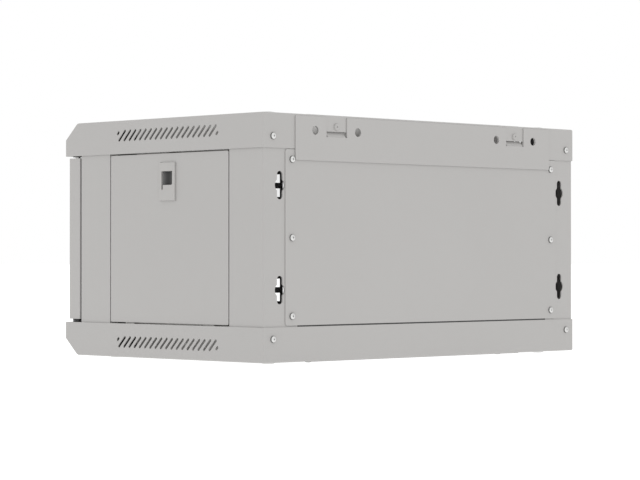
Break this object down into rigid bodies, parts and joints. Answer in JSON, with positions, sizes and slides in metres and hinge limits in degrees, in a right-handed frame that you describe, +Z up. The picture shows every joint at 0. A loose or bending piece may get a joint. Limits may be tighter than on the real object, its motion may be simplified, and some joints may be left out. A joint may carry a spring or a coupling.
{
  "type": "wall mount network cabinet",
  "caption": "Small wall mounted steel cabinet for 19 inch network equipment, with a glazed door, lift-off side panels and vented covers.",
  "frame": {"origin": "under the middle of the cabinet, level with its lowest screw heads", "axes": "+X to the right seen from the front, +Y towards the wall, +Z up; the glazed door faces -Y"},
  "size_m": [0.5414, 0.3524, 0.2864],
  "materials": {
    "case_paint": "light warm grey fine-texture powder coat",
    "rail_paint": "black powder coat",
    "zinc": "bright zinc plated",
    "black_nylon": "moulded",
    "latch_plastic": "moulded, coloured to match the case",
    "slider_plastic": "moulded, dark grey",
    "black_rubber": "matt",
    "door_glass": "clear, lightly tinted"
  },
  "bodies": {
    "cabinet": {"top_cover": "case_paint", "bottom_cover": "case_paint", "right_side_frame": "case_paint", "left_side_frame": "case_paint", "back_panel": "case_paint", "back_panel_screws": "zinc", "cover_screws": "zinc", "rear_top_plate": "case_paint", "top_plate_screws": "case_paint", "roof_entry_plate": "case_paint", "floor_entry_plate": "case_paint", "roof_entry_screws": "zinc", "floor_entry_screws": "zinc", "upper_hinge_bush": "black_nylon", "lower_hinge_bush": "black_nylon", "door_buffers": "black_rubber", "earth_stud": "zinc"},
    "door": {"door_frame": "case_paint", "door_glass": "door_glass", "glass_seal": "black_rubber", "glass_clips": "zinc", "glass_clip_nuts": "zinc", "upper_hinge_bracket": "rail_paint", "hinge_spring": "zinc", "lower_hinge_pin": "zinc", "hinge_washer": "black_nylon", "lock_barrel": "zinc", "lock_nut": "zinc"},
    "hinge_pin": {"upper_hinge_pin": "zinc"},
    "door_lock": {"lock_plug": "zinc", "lock_cam": "zinc", "lock_cam_screw": "zinc"},
    "right_panel": {"right_side_panel": "case_paint", "right_latch_plate": "latch_plastic"},
    "right_latch": {"right_latch_slider": "slider_plastic"},
    "right_front_rail": {"right_front_rail": "rail_paint", "right_front_rail_bolts": "zinc"},
    "right_rear_rail": {"right_rear_rail": "rail_paint", "right_rear_rail_bolts": "zinc"},
    "left_panel": {"left_side_panel": "case_paint", "left_latch_plate": "latch_plastic"},
    "left_latch": {"left_latch_slider": "slider_plastic"},
    "left_front_rail": {"left_front_rail": "rail_paint", "left_front_rail_bolts": "zinc"},
    "left_rear_rail": {"left_rear_rail": "rail_paint", "left_rear_rail_bolts": "zinc"}
  },
  "joints": [
    {"name": "door_hinge", "type": "hinge", "parent": "cabinet", "child": "door", "pos_m": [0.2625, -0.1622, 0.1432], "axis": [0, 0, 1], "range_deg": [0, 180]},
    {"name": "hinge_pin_pull", "type": "slide", "parent": "door", "child": "hinge_pin", "axis": [0, 0, -1], "range_m": [0, 0.007], "stiffness_N_per_m": 600, "springref_m": -0.004, "deforming": ["hinge_spring"]},
    {"name": "lock_turn", "type": "hinge", "parent": "door", "child": "door_lock", "pos_m": [-0.234, -0.172, 0.1432], "axis": [0, 1, 0], "range_deg": [0, 90]},
    {"name": "right_panel_pull", "type": "slide", "parent": "cabinet", "child": "right_panel", "axis": [1, 0, 0], "range_m": [0, 0.03]},
    {"name": "right_latch_slide", "type": "slide", "parent": "right_panel", "child": "right_latch", "axis": [0, 0, 1], "range_m": [0, 0.005]},
    {"name": "right_front_rail_slide", "type": "slide", "parent": "cabinet", "child": "right_front_rail", "axis": [0, 1, 0], "range_m": [0, 0.06]},
    {"name": "right_rear_rail_slide", "type": "slide", "parent": "cabinet", "child": "right_rear_rail", "axis": [0, -1, 0], "range_m": [0, 0.06]},
    {"name": "left_panel_pull", "type": "slide", "parent": "cabinet", "child": "left_panel", "axis": [-1, 0, 0], "range_m": [0, 0.03]},
    {"name": "left_latch_slide", "type": "slide", "parent": "left_panel", "child": "left_latch", "axis": [0, 0, 1], "range_m": [0, 0.005]},
    {"name": "left_front_rail_slide", "type": "slide", "parent": "cabinet", "child": "left_front_rail", "axis": [0, 1, 0], "range_m": [0, 0.06]},
    {"name": "left_rear_rail_slide", "type": "slide", "parent": "cabinet", "child": "left_rear_rail", "axis": [0, -1, 0], "range_m": [0, 0.06]}
  ]
}
